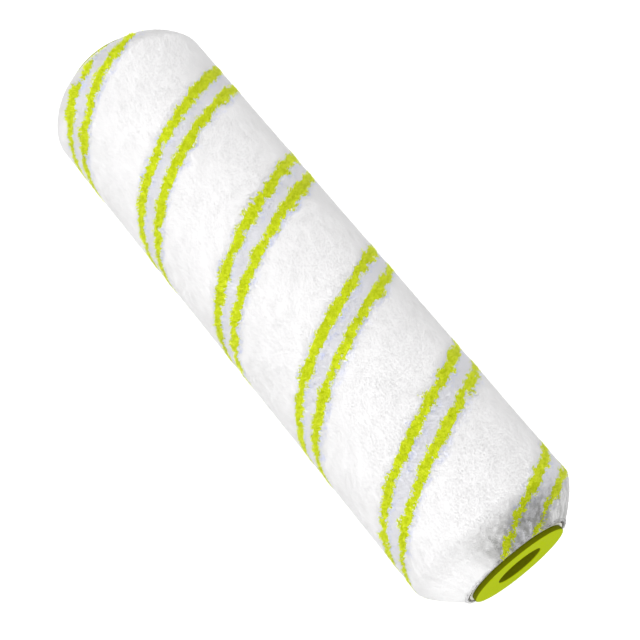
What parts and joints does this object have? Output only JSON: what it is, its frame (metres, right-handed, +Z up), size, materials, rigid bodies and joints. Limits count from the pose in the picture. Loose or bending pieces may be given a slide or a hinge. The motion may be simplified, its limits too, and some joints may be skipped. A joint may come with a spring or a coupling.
{
  "type": "paint roller sleeve",
  "caption": "Plush striped paint roller sleeve: helically wound pile fabric on a tube, a moulded cap and a turning bearing in each end, for a bare frame rod.",
  "frame": {"origin": "on the sleeve's axis, midway between the outer faces of the two end caps", "axes": "+Y along the sleeve's axis from the near cap to the far cap; +Z up as the sleeve lies"},
  "size_m": [0.0678, 0.254, 0.0678],
  "materials": {
    "white_pile": "matte",
    "green_pile": "matte",
    "backing": "matte",
    "adhesive": "satin",
    "core": "satin",
    "cap": "satin",
    "bush": "satin",
    "washer": "matte",
    "ring": "satin"
  },
  "bodies": {
    "near_bearing": {"near_bearing_bush": "bush", "near_thrust_washer": "washer", "near_retaining_ring": "ring"},
    "sleeve": {"core_tube": "core", "adhesive_film": "adhesive", "backing_strip": "backing", "white_pile": "white_pile", "green_stripe_1": "green_pile", "green_stripe_2": "green_pile", "green_stripe_3": "green_pile", "green_stripe_4": "green_pile", "near_end_cap": "cap", "far_end_cap": "cap"},
    "far_bearing": {"far_bearing_bush": "bush", "far_thrust_washer": "washer", "far_retaining_ring": "ring"}
  },
  "joints": [
    {"name": "sleeve_spin", "type": "hinge", "parent": "near_bearing", "child": "sleeve", "pos_m": [0, 0, 0], "axis": [0, 1, 0], "continuous": true},
    {"name": "far_bearing_spin", "type": "hinge", "parent": "sleeve", "child": "far_bearing", "pos_m": [0, 0, 0], "axis": [0, 1, 0], "continuous": true}
  ],
  "couplings": [
    {"joint": "far_bearing_spin", "follows": "sleeve_spin", "ratio": -1}
  ]
}
